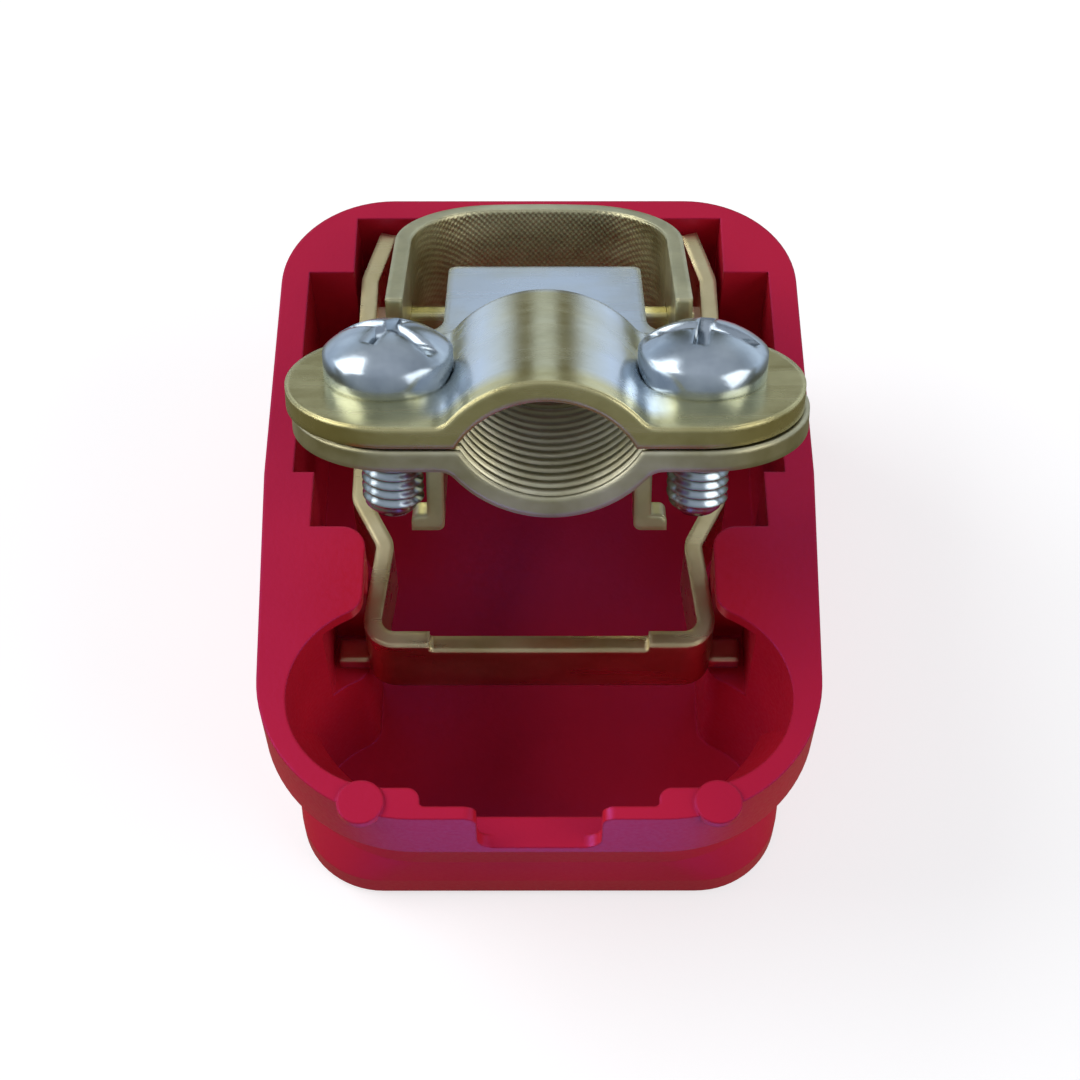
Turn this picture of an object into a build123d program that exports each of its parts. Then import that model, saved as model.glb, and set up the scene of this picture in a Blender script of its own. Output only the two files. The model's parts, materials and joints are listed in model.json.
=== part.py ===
"""Quick-release battery terminal clamp with a moulded lever cover.

The cover lies on its closed face, open side up. +Y points away from the cable
end, +X to the right seen from the cable end, +Z up. The origin is the centre of
the closed face's footprint. Sizes are in millimetres.
"""

import os
from build123d import *

# ---- cover ------------------------------------------------------------------
COVER_LENGTH = 64.0
COVER_WIDTH = 47.2  # far half
COVER_HEIGHT = 26.0
COVER_FLOOR = 2.4
FAR_CORNER_RADIUS = 10.0
NEAR_CORNER_RADIUS = 13.0
NEAR_TAPER = 1.4  # each side of the near half leans in by this much at the near end
TAPER_START_Y = 0.5
CLOSED_EDGE_CHAMFER = 0.8

END_WALL = 2.7  # wall at the cable end
FAR_WALL = 2.2
SIDE_WALL = 2.5  # wall beside the pockets
CAVITY_LENGTH = 16.8  # front cavity along Y
CAVITY_SIDE_WALL = 1.9
LEG_CLEARANCE = 0.6  # strap legs to the near blocks
BLOCK_LENGTH = 7.6  # near blocks along Y
POCKET_STEP = 1.8  # the pockets' near part is narrower by this much
POCKET_STEP_LENGTH = 5.6
FAR_BLOCK_LENGTH = 6.6
ARM_CLEARANCE = 0.6  # strap arms to the far blocks
BLOCK_CORNER_RADIUS = 3.0

NOTCH_WIDTH = 9.8  # cable exit
NOTCH_DEPTH = 5.2
NOTCH_CORNER_RADIUS = 1.4
RELIEF_WIDTH = 18.6  # the end wall is thinned here for the saddles' arch
RELIEF_WALL = 1.1
RELIEF_CORNER_RADIUS = 0.4
EXIT_EDGE_RADIUS = 1.0  # rounded corners beside the relief and on top of the notch

RECESS_TOP = 6.0  # the finger recess starts this far below the rim
RECESS_SAG = 2.4
RECESS_WALL = 1.9
RECESS_CORNER_RADIUS = 16.0  # near corners half way down the recess
RECESS_STEPS = 6
LIP_HEIGHT = 3.0
LIP_INSET = 5.0
LIP_CORNER_RADIUS = 7.5
LIP_TAPER = 1.7  # the lip leans in further than the rim by this much

WINDOW_DEPTH = 3.2  # into the block, along X
WINDOW_HEIGHT = 10.2
WINDOW_LENGTH = 3.6
WINDOW_SKIN = 1.2  # block material left above the window

MARK_DIAMETER = 3.7  # flat round pads on the rim
MARK_HEIGHT = 0.2
MARK_THICKNESS = 0.7
MARK_SPACING = 27.7
MARK_INSET = 1.4

# ---- lever strap ------------------------------------------------------------
STRAP_THICKNESS = 1.5
STRAP_HEIGHT = 6.6
STRAP_DROP = 4.2  # top edge below the cover's rim
STRAP_FRONT_WIDTH = 30.0  # over the outside of the front bar
STRAP_LEG_WIDTH = 28.0  # over the outside where the legs meet the joggle
STRAP_ARM_WIDTH = 32.8  # over the outside of the arms
STRAP_END_WIDTH = 29.8  # over the outside at the free ends
STRAP_BEND_RADIUS = 1.9  # on the centre line
BAR_SETBACK = 0.2  # front bar to the near blocks
JOGGLE_START = 0.9  # from the near blocks' far faces
JOGGLE_LENGTH = 4.8
TOE_LENGTH = 5.6
ARM_RISE = 2.8  # the arms stand above the bar by this much
ARM_RISE_LENGTH = 19.0
ARM_RISE_RADIUS = 2.3
STRAP_END_GAP = 0.7  # free ends to the far wall
BAR_NOTCH_WIDTH = 18.4
BAR_NOTCH_DEPTH = 0.8
BAR_NOTCH_RADIUS = 0.4
TAB_LENGTH = 2.2
TAB_REACH = 2.6
TAB_THICKNESS = 1.3

# ---- hinge ------------------------------------------------------------------
OPEN_ANGLE = 27.0  # clamp tipped up from parallel with the rim
PIVOT_FROM_FAR_WALL = 10.7
PIVOT_RISE = 0.9  # pivots above the middle of the strap
RIVET_DIAMETER = 3.0
RIVET_HEAD_DIAMETER = 5.0
RIVET_HEAD_HEIGHT = 0.9
RIVET_FOOT_DIAMETER = 4.0
RIVET_FOOT_HEIGHT = 0.7
SPACER_DIAMETER = 8.4
HINGE_CLEARANCE = 0.05  # radial
SIDE_CLEARANCE = 0.12  # between faces that turn on each other

# ---- post band --------------------------------------------------------------
BAND_THICKNESS = 1.4
BAND_HEIGHT = 11.0
BAND_TOP = 13.1  # top edge above the pivots
BAND_WIDTH = 25.4  # over the outside
BAND_CORNER_RADIUS = 8.2  # on the centre line
BAND_CROWN = 0.9  # the far side bows out by this much
BAND_CROWN_RADIUS = 52.0
BAND_REACH = 4.1  # pivots to the far side's outer face
BAND_SIDE_END = 18.4  # pivots to the near edges of the sides
BAND_EAR_RADIUS = 2.9
BAND_EAR_ROOT = 6.4  # the ears join the sides this far before the pivots
LEG_HEIGHT = 4.8
LEG_TOP = 3.4  # above the pivots
LEG_SPREAD = 18.2  # over the outside of the legs
LEG_JOGGLE = 3.2
LEG_LENGTH = 10.6  # past the sides' near edges
HOOK_LENGTH = 2.2
HOOK_REACH = 1.3
HOOK_THICKNESS = 1.4
SLOT_HEIGHT = 2.3
SLOT_OVER_PIVOT = 6.4

# ---- cable saddles ----------------------------------------------------------
SADDLE_THICKNESS = 1.7
HALF_BORE = 6.8  # half the bore's width at the parting face
BORE_SAG = 3.9  # bore depth in each half
EAR_RADIUS = 8.7
EAR_SPACING = 23.2
SCREW_SPACING = 24.6
SCREW_OFFSET = 1.0  # screws sit this far behind the ears' centres
ARCH_FOOT_RADIUS = 1.6
TONGUE_WIDTH = 16.8
TONGUE_CORNER_RADIUS = 1.3
TONGUE_ROOT_RADIUS = 2.6
JAW_HEIGHT = 6.4
JAW_GAP = 9.3  # jaw to band as modelled
JAW_TRAVEL = 9.46  # jaw away from the band while the lever shuts
JAW_OVERTRAVEL = 0.88
LUG_HEIGHT = 2.0
LUG_REACH = 0.5  # past the band's outer face
SCREW_TO_PIVOT = 28.8
PLATE_OVER_PIVOT = 11.2  # top of the upper saddle
PARTING_GAP = 0.25  # between the two saddles as modelled
SIDE_PLAY = 0.5  # the saddles and screws sit this far to the right
LOWER_PLAY = 0.4  # the lower saddle sits this much further to the right
JAW_EDGE_RADIUS = 0.8
SPOT_CLEARANCE = 0.1  # round the screw heads
RIDGE_PITCH = 1.25
RIDGE_DEPTH = 0.35

# ---- clamp screws -----------------------------------------------------------
SCREW_DIAMETER = 5.0
SCREW_REACH = 12.0  # under the head
SCREW_HEAD_DIAMETER = 10.2
SCREW_HEAD_HEIGHT = 4.1
SCREW_HEAD_SIDE = 2.0
SCREW_TIP_CHAMFER = 1.0
HOLE_CLEARANCE = 0.25  # radial, upper saddle
THREAD_CLEARANCE = 0.04  # radial, lower saddle
SLOT_WIDTH = 1.2
SLOT_DEPTH = 1.5
CROSS_WIDTH = 1.2
CROSS_SPAN = 5.2
CROSS_DEPTH = 2.2
LEFT_SCREW_TURN = -32.0
RIGHT_SCREW_TURN = -12.0

# ---- places worked out from the sizes ----------------------------------------
NEAR_END_WIDTH = COVER_WIDTH - 2 * NEAR_TAPER
LIP_END_WIDTH = NEAR_END_WIDTH - 2 * LIP_TAPER
CAVITY_WIDTH = NEAR_END_WIDTH - 2 * CAVITY_SIDE_WALL
CHANNEL_WIDTH = STRAP_LEG_WIDTH + 2 * LEG_CLEARANCE
FAR_RECESS_WIDTH = STRAP_ARM_WIDTH + 2 * ARM_CLEARANCE
NEAR = -COVER_LENGTH / 2
FAR = COVER_LENGTH / 2
CAVITY_NEAR = NEAR + END_WALL
CAVITY_FAR = CAVITY_NEAR + CAVITY_LENGTH
BLOCK_FAR = CAVITY_FAR + BLOCK_LENGTH
STEP_Y = BLOCK_FAR + POCKET_STEP_LENGTH
CHAMBER_FAR = FAR - FAR_WALL
FAR_BLOCK_NEAR = CHAMBER_FAR - FAR_BLOCK_LENGTH
POCKET_WIDTH = COVER_WIDTH - 2 * SIDE_WALL
FILLET_SHARE = 0.45  # a corner radius takes no more than this share of its wall
TOUCH = 0.01  # edges and corners within this of a line lie on it

STRAP_TOP = COVER_HEIGHT - STRAP_DROP
BAR_FAR = CAVITY_FAR - BAR_SETBACK
BAR_Y = BAR_FAR - STRAP_THICKNESS / 2
JOGGLE_NEAR = BLOCK_FAR + JOGGLE_START
JOGGLE_FAR = JOGGLE_NEAR + JOGGLE_LENGTH
STRAP_END = CHAMBER_FAR - STRAP_END_GAP
TOE_Y = STRAP_END - TOE_LENGTH

PIVOT_Y = CHAMBER_FAR - PIVOT_FROM_FAR_WALL
PIVOT_Z = STRAP_TOP - STRAP_HEIGHT / 2 + PIVOT_RISE
ARM_INNER = STRAP_ARM_WIDTH / 2 - STRAP_THICKNESS
BAND_OUTER = BAND_WIDTH / 2
BAND_INNER = BAND_OUTER - BAND_THICKNESS
BAND_JAW_FACE = BAND_REACH - BAND_THICKNESS
JAW_FACE = BAND_JAW_FACE - JAW_GAP
PARTING = PLATE_OVER_PIVOT - SADDLE_THICKNESS

CLAMP_PLACE = Pos(0, PIVOT_Y, PIVOT_Z) * Rot(X=-OPEN_ANGLE)


def block(x_range, y_range, z_range):
    """Box between pairs of limits."""
    size = [limit[1] - limit[0] for limit in (x_range, y_range, z_range)]
    centre = [(limit[0] + limit[1]) / 2 for limit in (x_range, y_range, z_range)]
    return Pos(*centre) * Box(*size)


def both_sides(solid):
    """The solid and its mirror image across the middle plane."""
    return [solid, mirror(solid, Plane.YZ)]


def plan_area(width, near, far):
    """Plan rectangle centred across X, between two Y limits."""
    return Pos(0, (near + far) / 2) * Rectangle(width, far - near)


# ---- cover --------------------------------------------------------------------

def cover_outline():
    """The cover's footprint: parallel far half, near half that narrows, four corner radii."""
    near_part = near_section(NEAR, NEAR_END_WIDTH, NEAR_CORNER_RADIUS, 0, 0)
    far_part = plan_area(COVER_WIDTH, TAPER_START_Y, FAR)
    far_part = fillet(far_part.vertices().group_by(Axis.Y)[-1], FAR_CORNER_RADIUS)
    return near_part + far_part


def near_section(near, end_width, radius, inset, height):
    """Near half of the footprint at one height, shrunk by an inset."""
    end = end_width / 2 - inset
    start = COVER_WIDTH / 2 - inset
    near_y = near + inset
    area = make_face(
        Polyline(
            (-end, near_y),
            (end, near_y),
            (start, TAPER_START_Y),
            (-start, TAPER_START_Y),
            close=True,
        )
    )
    corners = area.vertices().group_by(Axis.Y)[0]
    return Pos(0, 0, height) * fillet(corners, radius - inset)


def recess_section(rise, inset):
    """Section of the finger recess, from the lip (rise 0) up to the rim band (rise 1)."""
    at_lip = (1 - rise) * (1 - 2 * rise)
    half_way = 4 * rise * (1 - rise)
    at_rim = rise * (2 * rise - 1)
    radius = at_lip * LIP_CORNER_RADIUS + half_way * RECESS_CORNER_RADIUS
    radius += at_rim * NEAR_CORNER_RADIUS
    near = NEAR + LIP_INSET * (1 - rise) + RECESS_SAG * half_way
    end_width = LIP_END_WIDTH + (NEAR_END_WIDTH - LIP_END_WIDTH) * rise
    height = LIP_HEIGHT + (COVER_HEIGHT - RECESS_TOP - LIP_HEIGHT) * rise
    return near_section(near, end_width, radius, inset, height)


def cover_body():
    """Outside of the moulding: rim band, finger recess round the near end, lip of the face."""
    sections = [recess_section(step / RECESS_STEPS, 0) for step in range(RECESS_STEPS + 1)]
    body = loft(sections, ruled=True)
    body += extrude(sections[0], LIP_HEIGHT, dir=(0, 0, -1))
    body += extrude(sections[-1], RECESS_TOP)
    body += extrude(cover_outline() & plan_area(2 * COVER_WIDTH, TAPER_START_Y, FAR), COVER_HEIGHT)
    rim_of_face = body.faces().sort_by(Axis.Z)[0].edges()
    return chamfer(rim_of_face, CLOSED_EDGE_CHAMFER)


def cover_hollow():
    """Front cavity, channel, side pockets and far recess as one deep cut."""
    cavity_y = (CAVITY_NEAR + CAVITY_FAR) / 2
    area = Pos(0, cavity_y) * SlotOverall(CAVITY_WIDTH, CAVITY_LENGTH)
    area += plan_area(CHANNEL_WIDTH, cavity_y, BLOCK_FAR)
    area += plan_area(POCKET_WIDTH - 2 * POCKET_STEP, BLOCK_FAR, STEP_Y)
    area += plan_area(POCKET_WIDTH, STEP_Y, FAR_BLOCK_NEAR)
    area += plan_area(FAR_RECESS_WIDTH, FAR_BLOCK_NEAR, CHAMBER_FAR)
    on_channel = area.vertices().filter_by(
        lambda point: abs(abs(point.X) - CHANNEL_WIDTH / 2) < TOUCH
    )
    block_face = (POCKET_WIDTH - CHANNEL_WIDTH) / 2 - POCKET_STEP
    area = fillet(on_channel, min(BLOCK_CORNER_RADIUS, block_face * FILLET_SHARE))
    hollow = Pos(0, 0, COVER_FLOOR) * extrude(area, COVER_HEIGHT)
    return hollow - (recess_lining() & hollow)


def recess_lining():
    """What the near end of the hollow leaves standing behind the finger recess."""
    waist = recess_section(0.5, RECESS_WALL)
    rim = recess_section(1, RECESS_WALL)
    kept = extrude(waist, COVER_HEIGHT, dir=(0, 0, -1)) + loft([waist, rim], ruled=True)
    rim_bottom = COVER_HEIGHT - RECESS_TOP
    return block((-COVER_WIDTH, COVER_WIDTH), (2 * NEAR, TAPER_START_Y), (0, rim_bottom)) - kept


def cable_exit():
    """Relief for the arch inside the end wall, and the notch through it."""
    bottom = COVER_HEIGHT - NOTCH_DEPTH
    relief_area = RectangleRounded(RELIEF_WIDTH, END_WALL * 2, RELIEF_CORNER_RADIUS)
    relief = Pos(0, NEAR + RELIEF_WALL + END_WALL, bottom) * extrude(relief_area, COVER_HEIGHT)
    side = RectangleRounded(NOTCH_WIDTH, 2 * NOTCH_DEPTH, NOTCH_CORNER_RADIUS)
    notch = extrude(Plane.XZ * side, END_WALL, both=True)
    return relief + Pos(0, NEAR + END_WALL / 2, COVER_HEIGHT) * notch


def exit_edges(body):
    """Standing edges beside the relief and the edges on top of the notch."""
    beside = body.edges().filter_by(Axis.Z).filter_by(
        lambda edge: abs(abs(edge.center().X) - RELIEF_WIDTH / 2) < TOUCH
        and abs(edge.center().Y - CAVITY_NEAR) < TOUCH
    )
    on_top = body.edges().filter_by(Axis.Y).filter_by(
        lambda edge: abs(abs(edge.center().X) - NOTCH_WIDTH / 2) < TOUCH
        and abs(edge.center().Z - COVER_HEIGHT) < TOUCH
    )
    return beside + on_top


def cover():
    """One-piece moulded lever cover."""
    body = cover_body() - cover_hollow() - cable_exit()
    body = fillet(exit_edges(body), EXIT_EDGE_RADIUS)
    inner = CHANNEL_WIDTH / 2
    window = block(
        (inner - WINDOW_DEPTH, inner + WINDOW_DEPTH),
        (CAVITY_FAR - WINDOW_LENGTH, CAVITY_FAR + WINDOW_LENGTH),
        (COVER_HEIGHT - WINDOW_SKIN - WINDOW_HEIGHT, COVER_HEIGHT - WINDOW_SKIN),
    )
    body -= both_sides(window)
    mark_z = COVER_HEIGHT + MARK_HEIGHT - MARK_THICKNESS / 2
    mark = Pos(MARK_SPACING / 2, NEAR + MARK_INSET, mark_z)
    body += both_sides(mark * Cylinder(MARK_DIAMETER / 2, MARK_THICKNESS))
    return body


# ---- lever strap -----------------------------------------------------------------

def strap_route():
    """Centre line of the strap in plan, from the right free end round to the left one."""
    right = [
        strap_point(STRAP_END_WIDTH, STRAP_END),
        strap_point(STRAP_ARM_WIDTH, TOE_Y),
        strap_point(STRAP_ARM_WIDTH, JOGGLE_FAR),
        strap_point(STRAP_LEG_WIDTH, JOGGLE_NEAR),
        strap_point(STRAP_FRONT_WIDTH, BAR_Y),
    ]
    return right + [(-x, y) for x, y in reversed(right)]


def strip(points, radii, thickness, height, base):
    """Flat strip standing on edge along a plan route."""
    route = FilletPolyline(*points, radius=radii)
    return Pos(0, 0, base) * extrude(trace(route, thickness), height)


def strap_point(width, y):
    """Centre-line point of the right leg for an outside width."""
    return (width / 2 - STRAP_THICKNESS / 2, y)


def lever_strap():
    """Bent strip: front bar, two joggled legs and the arms that carry the pivots."""
    bottom = STRAP_TOP - STRAP_HEIGHT
    full_height = STRAP_HEIGHT + ARM_RISE
    body = strip(strap_route(), STRAP_BEND_RADIUS, STRAP_THICKNESS, full_height, bottom)
    side = RectangleRounded(2 * COVER_LENGTH, 2 * ARM_RISE, ARM_RISE_RADIUS)
    step_y = STRAP_END - ARM_RISE_LENGTH - COVER_LENGTH
    body -= Pos(0, step_y, STRAP_TOP + ARM_RISE) * extrude(Plane.YZ * side, COVER_WIDTH, both=True)
    notch_profile = RectangleRounded(BAR_NOTCH_WIDTH, 2 * BAR_NOTCH_DEPTH, BAR_NOTCH_RADIUS)
    notch = extrude(Plane.XZ * notch_profile, STRAP_THICKNESS, both=True)
    body -= Pos(0, BAR_Y, STRAP_TOP) * notch
    leg_outer = STRAP_LEG_WIDTH / 2
    tab = block(
        (leg_outer - STRAP_THICKNESS / 2, CHANNEL_WIDTH / 2 + TAB_REACH),
        (CAVITY_FAR, CAVITY_FAR + TAB_LENGTH),
        (bottom, bottom + TAB_THICKNESS),
    )
    body += both_sides(tab)
    bore = Pos(0, PIVOT_Y, PIVOT_Z) * Rot(Y=90) * Cylinder(RIVET_DIAMETER / 2, COVER_WIDTH)
    return body - bore


# ---- hinge ----------------------------------------------------------------------

def along_x(radius, start, end):
    """Cylinder about the hinge axis between two X limits."""
    place = Pos((start + end) / 2, PIVOT_Y, PIVOT_Z) * Rot(Y=90)
    return place * Cylinder(radius, end - start)


def pivot_rivet():
    """Right rivet: outer head, shank and flat inner head."""
    arm_outer = STRAP_ARM_WIDTH / 2
    inner_face = BAND_INNER - SIDE_CLEARANCE
    head = along_x(RIVET_HEAD_DIAMETER / 2, arm_outer, arm_outer + RIVET_HEAD_HEIGHT)
    head = chamfer(head.edges().group_by(Axis.X)[-1], RIVET_HEAD_HEIGHT / 2)
    shank = along_x(RIVET_DIAMETER / 2, inner_face, arm_outer)
    foot = along_x(RIVET_FOOT_DIAMETER / 2, inner_face - RIVET_FOOT_HEIGHT, inner_face)
    return head + shank + foot


def pivot_spacer():
    """Right spacer ring between the strap's arm and the band."""
    start = BAND_OUTER + SIDE_CLEARANCE
    ring = along_x(SPACER_DIAMETER / 2, start, ARM_INNER)
    return ring - along_x(RIVET_DIAMETER / 2, start, ARM_INNER)


# ---- post band: modelled about the pivots, clamp parallel with the rim ------------------

def band_ring():
    """Tall part of the band that goes round the post."""
    centre_x = BAND_OUTER - BAND_THICKNESS / 2
    centre_far = BAND_REACH - BAND_THICKNESS / 2
    right = [(centre_x, -BAND_SIDE_END), (centre_x, centre_far - BAND_CROWN)]
    left = [(-x, y) for x, y in reversed(right)]
    radii = [BAND_CORNER_RADIUS, BAND_CROWN_RADIUS, BAND_CORNER_RADIUS]
    points = right + [(0, centre_far)] + left
    return strip(points, radii, BAND_THICKNESS, BAND_HEIGHT, BAND_TOP - BAND_HEIGHT)


def band_leg():
    """Right leg: joggled inwards past the screw, ending in an outward hook."""
    outer = BAND_OUTER - BAND_THICKNESS / 2
    inner = LEG_SPREAD / 2 - BAND_THICKNESS / 2
    start = -BAND_SIDE_END + LEG_JOGGLE
    end = -BAND_SIDE_END - LEG_LENGTH
    points = [
        (outer, start),
        (outer, -BAND_SIDE_END),
        (inner, -BAND_SIDE_END - LEG_JOGGLE),
        (inner, end),
    ]
    base = LEG_TOP - LEG_HEIGHT
    leg = strip(points, BAND_THICKNESS, BAND_THICKNESS, LEG_HEIGHT, base)
    hook_start = LEG_SPREAD / 2 - BAND_THICKNESS
    hook = block(
        (hook_start, LEG_SPREAD / 2 + HOOK_REACH),
        (end, end + HOOK_LENGTH),
        (base - HOOK_THICKNESS, base),
    )
    corner = hook.edges().filter_by(Axis.Y).sort_by(lambda edge: edge.center().X + edge.center().Z)
    inner_low = hook.edges().filter_by(Axis.Y).group_by(Axis.Z)[0].sort_by(Axis.X)[0]
    hook = fillet([inner_low, corner[-1]], HOOK_THICKNESS * FILLET_SHARE)
    return leg + hook


def band_ear():
    """Right ear: carries the pivot hole below the ring's side."""
    plate = block(
        (BAND_INNER, BAND_OUTER),
        (-BAND_EAR_ROOT, 0),
        (0, BAND_TOP - BAND_HEIGHT + BAND_THICKNESS),
    )
    middle = (BAND_INNER + BAND_OUTER) / 2
    disc = Pos(middle, 0, 0) * Rot(Y=90) * Cylinder(BAND_EAR_RADIUS, BAND_THICKNESS)
    return plate + disc


def post_band():
    """One bent strip round the battery post, hinged on the lever strap."""
    body = band_ring()
    body += both_sides(band_leg())
    body += both_sides(band_ear())
    hole_radius = RIVET_DIAMETER / 2 + HINGE_CLEARANCE
    body -= Rot(Y=90) * Cylinder(hole_radius, COVER_WIDTH)
    slot_near = JAW_FACE - SADDLE_THICKNESS - JAW_TRAVEL - SIDE_CLEARANCE
    slot_far = JAW_FACE + JAW_OVERTRAVEL + SIDE_CLEARANCE
    slot = block(
        (-COVER_WIDTH / 2, COVER_WIDTH / 2),
        (slot_near, slot_far),
        (SLOT_OVER_PIVOT - SLOT_HEIGHT / 2, SLOT_OVER_PIVOT + SLOT_HEIGHT / 2),
    )
    return CLAMP_PLACE * (body - slot)


# ---- cable saddles ---------------------------------------------------------------------

def saddle_outline():
    """Plan of one saddle: straight edges between two round ears."""
    ear_y = -SCREW_TO_PIVOT - SCREW_OFFSET
    width = EAR_SPACING + 2 * EAR_RADIUS
    return Pos(0, ear_y) * SlotOverall(width, 2 * EAR_RADIUS)


def arch_radius():
    """Bore radius that gives the half width and sag."""
    return (HALF_BORE**2 + BORE_SAG**2) / (2 * BORE_SAG)


def arch_section(offset):
    """Half-pipe section above the parting face, grown by an offset."""
    radius = arch_radius()
    circle = Pos(0, BORE_SAG - radius) * Circle(radius + offset)
    return circle & Pos(0, HALF_BORE) * Rectangle(4 * HALF_BORE, 2 * HALF_BORE)


def arch_bar(offset, near, far):
    """Half-pipe solid lying along Y with its flat face down."""
    section = Plane.XZ.offset(-near) * arch_section(offset)
    return extrude(section, near - far)


def saddle_blank():
    """A saddle lying flat: plate, arch and its rounded feet, parting face at zero."""
    ear_y = -SCREW_TO_PIVOT - SCREW_OFFSET
    near = ear_y - EAR_RADIUS
    far = ear_y + EAR_RADIUS
    plate = extrude(saddle_outline(), SADDLE_THICKNESS)
    arch = arch_bar(SADDLE_THICKNESS, near, far)
    body = plate + arch
    feet = body.edges().filter_by(Axis.Y).filter_by(
        lambda edge: abs(edge.center().Z - SADDLE_THICKNESS) < TOUCH
    )
    return fillet(feet, ARCH_FOOT_RADIUS)


def screw_holes(radius):
    """Vertical cutters at the two screws."""
    cutter = Pos(SCREW_SPACING / 2, -SCREW_TO_PIVOT) * Cylinder(radius, COVER_HEIGHT)
    return both_sides(cutter)


def upper_saddle():
    """Upper saddle with its tongue, turned-down jaw and guide lugs."""
    ear_y = -SCREW_TO_PIVOT - SCREW_OFFSET
    near = ear_y - EAR_RADIUS
    far = ear_y + EAR_RADIUS
    body = saddle_blank()
    body -= arch_bar(0, near, far - SADDLE_THICKNESS)
    outline = saddle_outline() + plan_area(TONGUE_WIDTH, ear_y, JAW_FACE)
    roots = outline.vertices().filter_by(
        lambda point: abs(abs(point.X) - TONGUE_WIDTH / 2) < TOUCH and point.Y < far + TONGUE_ROOT_RADIUS
    )
    outline = fillet(roots, TONGUE_ROOT_RADIUS)
    outline = fillet(outline.vertices().group_by(Axis.Y)[-1], JAW_EDGE_RADIUS)
    plate = extrude(outline, SADDLE_THICKNESS)
    body += plate - arch_bar(SADDLE_THICKNESS / 2, near, far - SADDLE_THICKNESS / 2)
    half = TONGUE_WIDTH / 2
    jaw_back = JAW_FACE - SADDLE_THICKNESS
    jaw = block((-half, half), (jaw_back, JAW_FACE), (-JAW_HEIGHT, SADDLE_THICKNESS))
    corners = jaw.edges().filter_by(Axis.Y).group_by(Axis.Z)[0]
    jaw = fillet(corners, TONGUE_CORNER_RADIUS)
    standing = jaw.edges().filter_by(Axis.Z).group_by(Axis.Y)[-1]
    jaw = fillet(standing, JAW_EDGE_RADIUS)
    body += jaw
    lug_z = SLOT_OVER_PIVOT - PARTING
    reach = BAND_OUTER + LUG_REACH
    lug_top = (lug_z - LUG_HEIGHT / 2, lug_z + LUG_HEIGHT / 2)
    body += block((-reach, reach), (jaw_back, JAW_FACE), lug_top)
    body -= screw_holes(SCREW_DIAMETER / 2 + HOLE_CLEARANCE)
    spot = screw_holes(SCREW_HEAD_DIAMETER / 2 + SPOT_CLEARANCE)
    body -= [Pos(0, 0, SADDLE_THICKNESS + COVER_HEIGHT / 2) * cutter for cutter in spot]
    return CLAMP_PLACE * Pos(SIDE_PLAY, 0, PARTING) * body


def lower_saddle():
    """Lower saddle: the same blank turned over, tapped for the screws and ridged."""
    ear_y = -SCREW_TO_PIVOT - SCREW_OFFSET
    near = ear_y - EAR_RADIUS
    far = ear_y + EAR_RADIUS
    body = saddle_blank() - arch_bar(0, near, far)
    ridge_count = int((far - near) / RIDGE_PITCH)
    centre_z = BORE_SAG - arch_radius()
    for index in range(ridge_count):
        y = near + (index + 0.5) * RIDGE_PITCH
        groove = Pos(0, y, centre_z) * Rot(X=90) * Cylinder(arch_radius() + RIDGE_DEPTH, RIDGE_PITCH / 2)
        body -= groove & block((-COVER_WIDTH, COVER_WIDTH), (near, far), (0, COVER_HEIGHT))
    holes = screw_holes(SCREW_DIAMETER / 2 + THREAD_CLEARANCE)
    body -= [Pos(-LOWER_PLAY, 0, 0) * hole for hole in holes]
    place = CLAMP_PLACE * Pos(SIDE_PLAY + LOWER_PLAY, 0, PARTING - PARTING_GAP)
    return place * mirror(body, Plane.XY)


# ---- clamp screws -----------------------------------------------------------------------

def screw_head():
    """Pan head with a cross and a slot, underside at zero."""
    head_radius = SCREW_HEAD_DIAMETER / 2
    crown = SCREW_HEAD_HEIGHT - SCREW_HEAD_SIDE
    dome_radius = (head_radius**2 + crown**2) / (2 * crown)
    side = Pos(0, 0, SCREW_HEAD_HEIGHT / 2) * Cylinder(head_radius, SCREW_HEAD_HEIGHT)
    dome = Pos(0, 0, SCREW_HEAD_HEIGHT - dome_radius) * Sphere(dome_radius)
    head = side & dome
    top = SCREW_HEAD_HEIGHT
    slot = Pos(0, 0, top) * Box(SCREW_HEAD_DIAMETER, SLOT_WIDTH, 2 * SLOT_DEPTH)
    cross = Pos(0, 0, top) * Box(CROSS_WIDTH, CROSS_SPAN, 2 * CROSS_DEPTH)
    return head - slot - cross


def clamp_screw(turn):
    """Right clamp screw, its recess turned about its own axis."""
    shank = Pos(0, 0, -SCREW_REACH / 2) * Cylinder(SCREW_DIAMETER / 2, SCREW_REACH)
    shank = chamfer(shank.edges().group_by(Axis.Z)[0], SCREW_TIP_CHAMFER)
    screw = Rot(Z=turn) * (screw_head() + shank)
    return Pos(SIDE_PLAY + SCREW_SPACING / 2, -SCREW_TO_PIVOT, PLATE_OVER_PIVOT) * screw


def build():
    """Every node by name."""
    right_rivet, left_rivet = both_sides(pivot_rivet())
    right_spacer, left_spacer = both_sides(pivot_spacer())
    left_screw = Pos(-SCREW_SPACING, 0, 0) * clamp_screw(LEFT_SCREW_TURN)
    return {
        "lever_cover": cover(),
        "lever_strap": lever_strap(),
        "pivot_rivet_right": right_rivet,
        "pivot_rivet_left": left_rivet,
        "pivot_spacer_right": right_spacer,
        "pivot_spacer_left": left_spacer,
        "post_band": post_band(),
        "upper_saddle": upper_saddle(),
        "lower_saddle": lower_saddle(),
        "clamp_screw_right": CLAMP_PLACE * clamp_screw(RIGHT_SCREW_TURN),
        "clamp_screw_left": CLAMP_PLACE * left_screw,
    }


def main():
    os.makedirs("parts", exist_ok=True)
    for name, shape in build().items():
        export_step(shape, f"parts/{name}.step")


if __name__ == "__main__":
    main()
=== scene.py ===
"""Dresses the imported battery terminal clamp: materials, threaded screws, floor, light and camera."""
import json
import math

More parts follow.
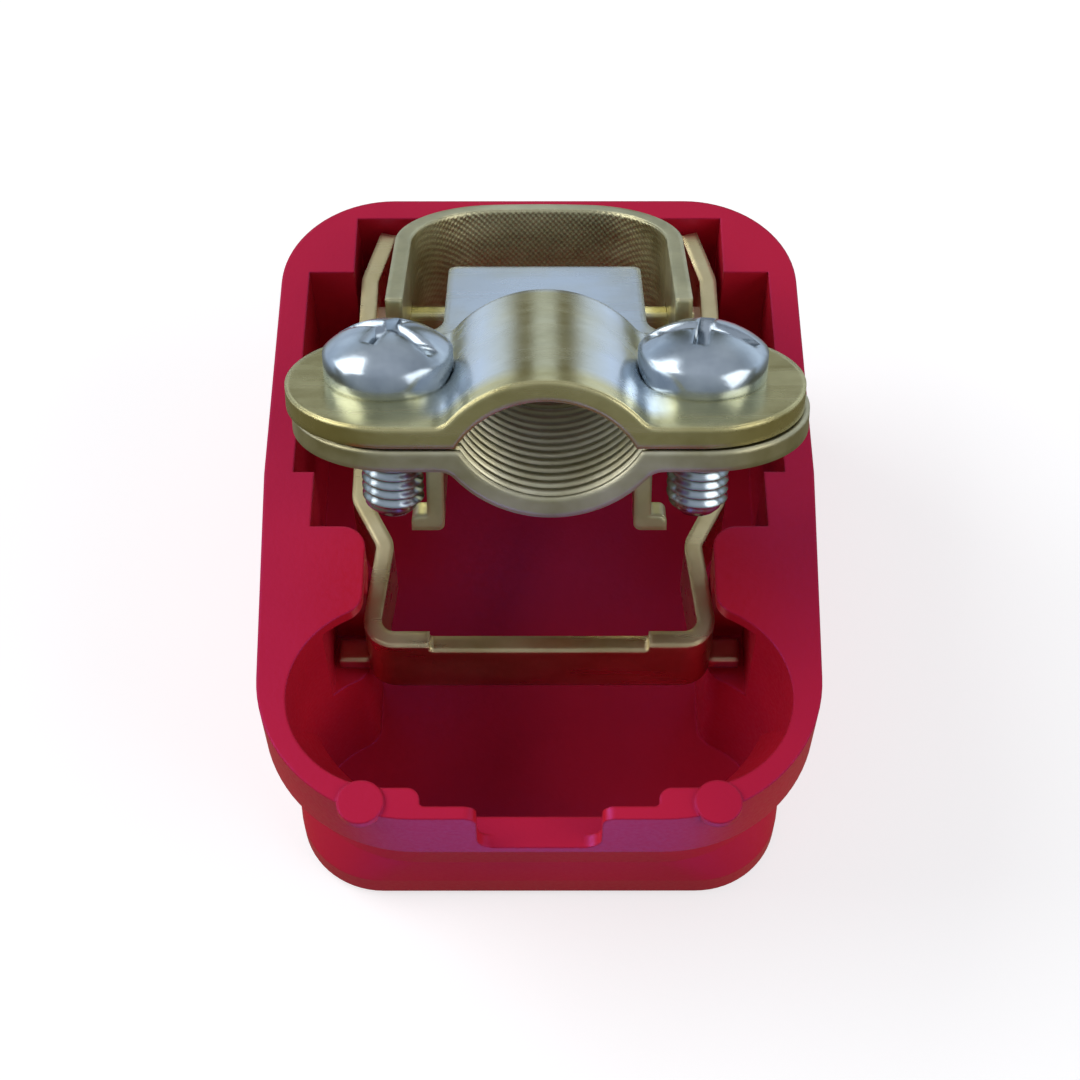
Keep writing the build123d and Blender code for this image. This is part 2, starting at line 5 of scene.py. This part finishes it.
import bmesh
import bpy
from mathutils import Matrix, Vector


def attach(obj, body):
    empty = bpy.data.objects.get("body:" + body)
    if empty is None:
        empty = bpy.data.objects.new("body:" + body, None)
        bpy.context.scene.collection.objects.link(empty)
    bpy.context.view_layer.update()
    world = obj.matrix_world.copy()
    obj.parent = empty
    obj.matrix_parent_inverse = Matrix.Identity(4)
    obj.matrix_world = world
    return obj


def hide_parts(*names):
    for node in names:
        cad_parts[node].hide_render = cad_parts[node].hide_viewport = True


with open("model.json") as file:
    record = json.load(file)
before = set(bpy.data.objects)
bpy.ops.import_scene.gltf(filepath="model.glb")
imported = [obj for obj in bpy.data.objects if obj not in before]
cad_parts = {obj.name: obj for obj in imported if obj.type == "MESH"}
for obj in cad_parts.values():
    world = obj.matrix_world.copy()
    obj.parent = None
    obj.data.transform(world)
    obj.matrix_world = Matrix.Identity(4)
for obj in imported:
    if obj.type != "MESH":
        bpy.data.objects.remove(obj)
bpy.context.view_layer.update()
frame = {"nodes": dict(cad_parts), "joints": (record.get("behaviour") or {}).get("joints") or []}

# Places and lengths are in metres. A pair is the start and end of a gradual change.

CAMERA_PLACE = (0.0, -0.0985, 0.1663)
CAMERA_TARGET = (0.00007, -0.0063, 0.026)
CAMERA_LENS = 66.67  # mm
CAMERA_SENSOR_WIDTH = 36  # mm
CAMERA_CLIP_START = 0.005

TWO_PI = 2 * math.pi
THREAD_PITCH = 0.0008
THREAD_DEPTH = 0.00042
THREAD_PROFILE = ((0.0, 1.0), (0.14, 1.0), (0.50, 0.0), (0.64, 0.0))  # share of pitch, of depth
THREAD_STEPS = 28  # per turn
TIP_CHAMFER = 0.001
TIP_CORNERS = 24
UNDER_HEAD = -1e-5  # the plain shank below this is left out
SAME_PLACE = 1e-7  # vertices closer than this become one
SHARP_ANGLE = 35  # degrees

CLAMP_UP = (0.0, 0.454, 0.891)  # the tipped clamp's own upward direction at rest
CLAMP_FORWARD = (0.0, 0.891, -0.454)  # from the cable's end to the tongue
ARCH_X = 0.0005
ARCH_EDGE = (0.0078, 0.0098)  # from the arch's middle plane
ARCH_SIDE = (0.0015, 0.0050)  # from the arch's middle plane
ARCH_TOP_SHARE = 0.15  # how silvery the arch's top is
ARCH_END = (-0.0290, -0.0272)  # along the clamp's forward direction
TONGUE_START = (-0.0138, -0.0128)  # along the clamp's forward direction
SILVER = (0.66, 0.73, 0.80)

KNURL_TURNS = (0.8, -0.8)  # radians
KNURL_SCALE = 860.0
KNURL_DEPTH = 0.00003
KNURL_START_Y = (0.010, 0.013)
KNURL_TILT = (0.2, 0.5)  # share of the band's upward direction in the face's normal

FLOOR_HALF = 4.0
FLOOR_COLOUR = (0.56, 0.56, 0.57)
FLOOR_GLOW = 0.62  # lifts the floor to white for the camera and keeps the shadow
FLOOR_MIRRORED = (0.17, 0.16, 0.10)  # what shiny faces mirror in the floor
FLOOR_BEHIND_Y = (0.03, 0.12)
SMALLEST_Y = 0.01  # keeps the share below from a division by zero
FLOOR_BEHIND_STOPS = (  # sideways share of the distance behind, colour
    (0.06, (0.52, 0.60, 0.72)),
    (0.10, (0.17, 0.16, 0.10)),
    (0.16, (0.17, 0.16, 0.10)),
    (0.28, (0.70, 0.80, 0.94)),
)
FRONT_PATCH_COLOUR = (0.40, 0.40, 1.30)  # mirrored by the rim band above the finger recess
FRONT_PATCH_CENTRE = (0.0, -0.085, 0.0)
FRONT_PATCH_EDGE = (0.040, 0.054)

SKY_LEVEL = 0.42
SKY_STOPS = (  # height, colour: even light that falls on everything
    (0.0, (0.85, 0.86, 0.88)),
    (0.35, (0.80, 0.83, 0.88)),
    (1.0, (0.42, 0.44, 0.48)),
)
NEAR_STOPS = (  # height, colour: mirrored on the near side and beside the clamp
    (0.0, (0.17, 0.18, 0.15)),
    (0.3, (0.40, 0.44, 0.48)),
    (1.0, (0.62, 0.66, 0.74)),
)
FAR_STOPS = (  # distance from the middle, colour: mirrored low behind the far end
    (0.07, (0.80, 0.92, 1.08)),
    (0.12, (0.13, 0.14, 0.11)),
    (0.25, (0.16, 0.17, 0.14)),
    (0.42, (0.86, 0.98, 1.14)),
)
FAR_FADE = (0.14, 0.60)  # heights between which the far end turns into the near side's sky
FAR_START_Y = (0.1, 0.3)

LIGHT_TARGET = (0.0, 0.0, 0.02)


# ---- node helpers ---------------------------------------------------------------------

class Tree:
    """Small builder for a tree of shading nodes."""

    def __init__(self, tree):
        self.tree = tree

    def add(self, kind, **settings):
        node = self.tree.nodes.new(kind)
        for key, value in settings.items():
            setattr(node, key, value)
        return node

    def put(self, value, socket):
        """Links an output to the socket, or sets a constant on it."""
        if hasattr(value, "is_linked"):
            self.tree.links.new(value, socket)
        elif socket.type == "RGBA":
            socket.default_value = (*value, 1)
        else:
            socket.default_value = value

    def feed(self, node, **values):
        for key, value in values.items():
            self.put(value, node.inputs[key.replace("_", " ")])
        return node

    def ramp(self, value, *stops):
        node = self.add("ShaderNodeValToRGB")
        self.put(value, node.inputs[0])
        elements = node.color_ramp.elements
        while len(elements) < len(stops):
            elements.new(0.5)
        for element, (place, colour) in zip(elements, stops):
            element.position = place
            element.color = (*colour, 1)
        return node.outputs[0]

    def span(self, value, low, high, start=0.0, end=1.0):
        node = self.add("ShaderNodeMapRange")
        ends = {"From Min": start, "From Max": end, "To Min": low, "To Max": high}
        return self.feed(node, Value=value, **ends).outputs[0]

    def maths(self, operation, first, *others):
        node = self.add("ShaderNodeMath", operation=operation)
        for socket, value in zip(node.inputs, (first, *others)):
            self.put(value, socket)
        return node.outputs[0]

    def vector_maths(self, operation, first, second):
        """Number that comes from two vectors."""
        node = self.add("ShaderNodeVectorMath", operation=operation)
        for socket, value in zip(node.inputs, (first, second)):
            self.put(value, socket)
        return node.outputs["Value"]

    def axes(self, vector):
        node = self.add("ShaderNodeSeparateXYZ")
        self.put(vector, node.inputs[0])
        return node.outputs

    def mix(self, factor, first, second):
        node = self.add("ShaderNodeMix", data_type="RGBA")
        for index, value in ((0, factor), (6, first), (7, second)):  # 6 and 7 take colours
            self.put(value, node.inputs[index])
        return node.outputs[2]

    def rays(self):
        return self.add("ShaderNodeLightPath").outputs


class Nodes(Tree):
    """Builder for one material."""

    def __init__(self, name):
        self.material = bpy.data.materials.new(name)
        self.material.use_nodes = True
        super().__init__(self.material.node_tree)
        self.shader = self.tree.nodes["Principled BSDF"]
        self.coordinates = self.add("ShaderNodeTexCoord").outputs["Object"]

    def noise(self, scale, detail=3.0, roughness=0.5, stretch=(1, 1, 1)):
        mapping = self.feed(self.add("ShaderNodeMapping"), Vector=self.coordinates, Scale=stretch)
        node = self.add("ShaderNodeTexNoise")
        self.feed(node, Vector=mapping.outputs[0], Scale=scale, Detail=detail, Roughness=roughness)
        return node.outputs[0]

    def bump(self, height, distance, strength, normal):
        node = self.add("ShaderNodeBump")
        self.feed(node, Height=height, Distance=distance, Strength=strength, Normal=normal)
        return node.outputs[0]

    def rounded(self, radius):
        """Normal that rounds edges over a radius."""
        return self.feed(self.add("ShaderNodeBevel", samples=4), Radius=radius).outputs[0]

    def surface(self, colour, roughness, **extra):
        self.feed(self.shader, Base_Color=colour, Roughness=roughness, **extra)
        return self.material


# ---- materials ------------------------------------------------------------------------

def red_moulding():
    n = Nodes("red_moulding")
    colour = n.ramp(n.noise(55, detail=2), (0.3, (0.50, 0.010, 0.022)), (0.7, (0.59, 0.014, 0.030)))
    grain = n.noise(2600, detail=2)
    waves = n.noise(140, detail=2)
    wavy = n.bump(waves, distance=0.0003, strength=0.25, normal=n.rounded(0.0003))
    return n.surface(
        colour,
        n.span(grain, low=0.34, high=0.46, start=0.3, end=0.7),
        Normal=n.bump(grain, distance=0.00004, strength=0.4, normal=wavy),
        Specular_IOR_Level=0.7,
        # The violet specular tint is a painted bluish sheen on every reflection of the plastic,
        # standing in for blue light mirrored from the front.
        Specular_Tint=(0.45, 0.16, 1.0),
    )


def passivated_steel(name, tint_low, tint_high, roughness, extra_bump=None, extra_tint=None):
    """Steel with a yellowish film in two tints, streaked across the part."""
    n = Nodes(name)
    tint = n.ramp(n.noise(150, detail=4, roughness=0.6), (0.35, tint_low), (0.68, tint_high))
    if extra_tint is not None:
        tint = extra_tint(n, tint)
    streaks = n.noise(500, roughness=0.6, stretch=(0.15, 1, 1))
    rough = n.maths("ADD", n.span(streaks, low=-0.06, high=0.08, start=0.3, end=0.7), roughness)
    normal = n.bump(n.noise(1500), distance=0.00002, strength=0.3, normal=n.rounded(0.0006))
    if extra_bump is not None:
        normal = extra_bump(n, normal)
    return n.surface(tint, rough, Normal=normal, Metallic=1.0)


def knurl(n, normal):
    """Fine crossed lines pressed into the band's faces, clear of its edges and legs."""
    lines = []
    for turn in KNURL_TURNS:
        mapping = n.feed(n.add("ShaderNodeMapping"), Vector=n.coordinates, Rotation=(0, turn, 0))
        wave = n.add("ShaderNodeTexWave", wave_type="BANDS", bands_direction="X")
        n.feed(wave, Vector=mapping.outputs[0], Scale=KNURL_SCALE)
        lines.append(wave.outputs["Fac"])
    crossed = n.maths("ADD", *lines)
    on_ring = n.span(n.axes(n.coordinates)[1], 0.0, 1.0, *KNURL_START_Y)
    own_normal = n.add("ShaderNodeTexCoord").outputs["Normal"]
    tilt = n.maths("ABSOLUTE", n.vector_maths("DOT_PRODUCT", own_normal, CLAMP_UP))
    on_face = n.span(tilt, 1.0, 0.0, *KNURL_TILT)
    masked = n.maths("MULTIPLY", n.maths("MULTIPLY", crossed, on_ring), on_face)
    return n.bump(masked, KNURL_DEPTH, strength=0.4, normal=normal)


def silver_middle(n, tint):
    """Arch sides and tongue are tinted silvery, the arch's top only a little, away from the cable's
    end.
    """
    sideways = n.maths("ABSOLUTE", n.maths("SUBTRACT", n.axes(n.coordinates)[0], ARCH_X))
    on_arch = n.span(sideways, 1.0, 0.0, *ARCH_EDGE)
    on_side = n.span(sideways, ARCH_TOP_SHARE, 1.0, *ARCH_SIDE)
    along = n.vector_maths("DOT_PRODUCT", n.coordinates, CLAMP_FORWARD)
    off_end = n.span(along, 0.0, 1.0, *ARCH_END)
    on_tongue = n.span(along, 0.0, 1.0, *TONGUE_START)
    silvery = n.maths("MULTIPLY", on_arch, n.maths("MAXIMUM", on_side, on_tongue))
    patches = n.span(n.noise(120), low=0.65, high=1.0, start=0.35, end=0.6)
    share = n.maths("MULTIPLY", n.maths("MULTIPLY", silvery, off_end), patches)
    return n.mix(share, tint, SILVER)


def bright_zinc():
    n = Nodes("bright_zinc")
    tint = n.ramp(n.noise(260), (0.35, (0.30, 0.35, 0.40)), (0.7, (0.50, 0.56, 0.60)))
    fine = n.noise(2200, detail=2)
    return n.surface(
        tint,
        n.span(n.noise(600), low=0.14, high=0.26),
        Normal=n.bump(fine, distance=0.00002, strength=0.3, normal=n.rounded(0.00035)),
        Metallic=1.0,
    )


def spacer_polymer():
    n = Nodes("spacer_polymer")
    return n.surface((0.62, 0.40, 0.33), n.span(n.noise(900, detail=2), low=0.5, high=0.65))


def dress(node_name, material):
    """Gives a CAD node one material on every slot."""
    mesh = frame["nodes"][node_name].data
    mesh.materials.clear()
    mesh.materials.append(material)


# ---- threaded screws --------------------------------------------------------------------

def screw_place(joint_name):
    """Matrix from a screw's own frame, seat at 0 and head upward, to the assembly's."""
    joint = next(j for j in frame["joints"] if j["name"] == joint_name)
    upright = Vector(joint["axis"]).normalized().to_track_quat("Z", "Y")
    return Matrix.Translation(Vector(joint["pos_m"])) @ upright.to_matrix().to_4x4()


def add_thread(shape, tip, crest):
    """Helix of thread profiles from the seat down to the tip, chamfered near it."""
    rows = int((THREAD_PITCH - tip) / THREAD_PITCH * THREAD_STEPS)
    root = crest - THREAD_DEPTH
    grid = []
    for row in range(rows + 1):
        turn = row / THREAD_STEPS
        angle = TWO_PI * turn
        line = []
        for along, height in THREAD_PROFILE:
            z = min(max(-(turn + along - 1) * THREAD_PITCH, tip), 0)
            limit = crest - max(0.0, TIP_CHAMFER - (z - tip))
            radius = min(root + (crest - root) * height, limit)
            line.append(shape.verts.new((radius * math.cos(angle), radius * math.sin(angle), z)))
        grid.append(line)
    for row in range(rows):
        for column in range(len(THREAD_PROFILE) - 1):
            upper, lower = grid[row], grid[row + 1]
            shape.faces.new((upper[column], lower[column], lower[column + 1], upper[column + 1]))
    for row in range(rows - THREAD_STEPS):  # from each turn's last point to the next turn's first
        below = row + THREAD_STEPS
        shape.faces.new((grid[row][-1], grid[row + 1][-1], grid[below + 1][0], grid[below][0]))


def add_tip(shape, tip, radius):
    angles = [TWO_PI * corner / TIP_CORNERS for corner in range(TIP_CORNERS)]
    ring = [(radius * math.cos(angle), radius * math.sin(angle), tip) for angle in angles]
    shape.faces.new([shape.verts.new(point) for point in ring])


def threaded_screw(name, joint_name):
    """Copy of the screw's head with a helical thread in place of its plain shank."""
    place = screw_place(joint_name)
    shape = bmesh.new()
    shape.from_mesh(frame["nodes"][name].data)
    shape.transform(place.inverted())
    tip = min(v.co.z for v in shape.verts)
    crest = max(math.hypot(v.co.x, v.co.y) for v in shape.verts if v.co.z < tip / 2)
    shank = [v for v in shape.verts if v.co.z < UNDER_HEAD]
    bmesh.ops.delete(shape, geom=shank, context="VERTS")
    add_thread(shape, tip, crest)
    add_tip(shape, tip, crest - TIP_CHAMFER)
    bmesh.ops.remove_doubles(shape, verts=shape.verts, dist=SAME_PLACE)
    bmesh.ops.recalc_face_normals(shape, faces=shape.faces)
    shape.transform(place)
    mesh = bpy.data.meshes.new(name + "_threaded")
    shape.to_mesh(mesh)
    shape.free()
    mesh.set_sharp_from_angle(angle=math.radians(SHARP_ANGLE))
    return in_scene(name + "_threaded", mesh)


# ---- stage ------------------------------------------------------------------------------

def in_scene(name, data):
    item = bpy.data.objects.new(name, data)
    bpy.context.scene.collection.objects.link(item)
    return item


def aimed(item, place, target):
    """Puts a lamp or the camera at a place and turns it towards a target."""
    item.location = place
    direction = Vector(target) - Vector(place)
    item.rotation_euler = direction.to_track_quat("-Z", "Y").to_euler()
    return item


def floor_material():
    """Pale floor, white to the camera, with its own colours where shiny faces mirror it."""
    n = Nodes("pale_floor")
    n.surface(FLOOR_COLOUR, roughness=0.9)
    rays = n.rays()
    glow = n.add("ShaderNodeEmission")
    n.feed(glow, Strength=n.maths("MULTIPLY", rays["Is Camera Ray"], FLOOR_GLOW))
    seen = n.add("ShaderNodeAddShader")
    n.put(n.shader.outputs[0], seen.inputs[0])
    n.put(glow.outputs[0], seen.inputs[1])

    x, y, _ = n.axes(n.coordinates)
    sideways = n.maths("DIVIDE", n.maths("ABSOLUTE", x), n.maths("MAXIMUM", y, SMALLEST_Y))
    far_floor = n.ramp(sideways, *FLOOR_BEHIND_STOPS)
    around = n.mix(n.span(y, 0.0, 1.0, *FLOOR_BEHIND_Y), FLOOR_MIRRORED, far_floor)
    distance = n.vector_maths("DISTANCE", n.coordinates, FRONT_PATCH_CENTRE)
    outside = n.span(distance, 0.0, 1.0, *FRONT_PATCH_EDGE)
    mirrored = n.add("ShaderNodeEmission")
    n.feed(mirrored, Color=n.mix(outside, FRONT_PATCH_COLOUR, around))

    chosen = n.add("ShaderNodeMixShader")
    n.put(rays["Is Glossy Ray"], chosen.inputs[0])
    n.put(seen.outputs[0], chosen.inputs[1])
    n.put(mirrored.outputs[0], chosen.inputs[2])
    n.feed(n.tree.nodes["Material Output"], Surface=chosen.outputs[0])
    return n.material


def floor():
    mesh = bpy.data.meshes.new("floor")
    corners = [(x * FLOOR_HALF, y * FLOOR_HALF, 0) for x, y in ((-1, -1), (1, -1), (1, 1), (-1, 1))]
    mesh.from_pydata(corners, [], [(0, 1, 2, 3)])
    mesh.materials.append(floor_material())
    return in_scene("floor", mesh)


def area_light(name, place, size, power):
    data = bpy.data.lights.new(name, "AREA")
    data.shape = "RECTANGLE"
    data.size, data.size_y = size
    data.energy = power
    aimed(in_scene(name, data), place, LIGHT_TARGET)


def sky():
    """Studio surroundings: even light, with a darker far side in what metal mirrors."""
    world = bpy.data.worlds.new("soft_sky")
    world.use_nodes = True
    world.node_tree.nodes.clear()
    n = Tree(world.node_tree)
    x, y, height = n.axes(n.add("ShaderNodeTexCoord").outputs["Generated"])
    near_side = n.ramp(height, *NEAR_STOPS)
    behind = n.ramp(n.maths("ABSOLUTE", x), *FAR_STOPS)
    low_far = n.mix(n.span(height, 0.0, 1.0, *FAR_FADE), behind, near_side)
    mirrored = n.mix(n.span(y, 0.0, 1.0, *FAR_START_Y), near_side, low_far)
    glossy = n.rays()["Is Glossy Ray"]
    colour = n.mix(glossy, n.ramp(height, *SKY_STOPS), mirrored)
    ground = n.add("ShaderNodeBackground")
    n.feed(ground, Color=colour, Strength=n.span(glossy, SKY_LEVEL, 1.0))
    n.feed(n.add("ShaderNodeOutputWorld"), Surface=ground.outputs[0])
    bpy.context.scene.world = world


def camera():
    data = bpy.data.cameras.new("camera")
    data.sensor_width = CAMERA_SENSOR_WIDTH
    data.lens = CAMERA_LENS
    data.clip_start = CAMERA_CLIP_START
    bpy.context.scene.camera = aimed(in_scene("camera", data), CAMERA_PLACE, CAMERA_TARGET)


# ---- assembly ---------------------------------------------------------------------------

dress("lever_cover", red_moulding())
dress("lever_strap", passivated_steel(
    "passivated_strap", (0.60, 0.50, 0.26), (0.76, 0.66, 0.40), 0.30
))
dress("post_band", passivated_steel(
    "passivated_band", (0.50, 0.47, 0.28), (0.72, 0.67, 0.42), 0.36, extra_bump=knurl
))
dress("upper_saddle", passivated_steel(
    "passivated_plate", (0.54, 0.48, 0.22), (0.74, 0.67, 0.36), 0.24, extra_tint=silver_middle
))
dress("lower_saddle", passivated_steel(
    "passivated_ridges", (0.48, 0.44, 0.26), (0.72, 0.68, 0.50), 0.34
))

rivet = passivated_steel("rivet_steel", (0.46, 0.42, 0.28), (0.6, 0.56, 0.42), 0.28)
zinc = bright_zinc()
spacer = spacer_polymer()
for side in ("left", "right"):
    dress(f"pivot_rivet_{side}", rivet)
    dress(f"pivot_spacer_{side}", spacer)
    dress(f"clamp_screw_{side}", zinc)
    screw = threaded_screw(f"clamp_screw_{side}", f"{side}_screw_turn")
    screw.data.materials.append(zinc)
    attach(screw, f"screw_{side}")
    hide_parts(f"clamp_screw_{side}")

floor()
area_light("key", (-0.62, 0.16, 0.50), (0.7, 0.6), 4.4)
area_light("fill", (0.62, -0.25, 0.42), (0.6, 0.5), 2.2)
sky()
camera()
bpy.context.scene.view_settings.view_transform = "Standard"
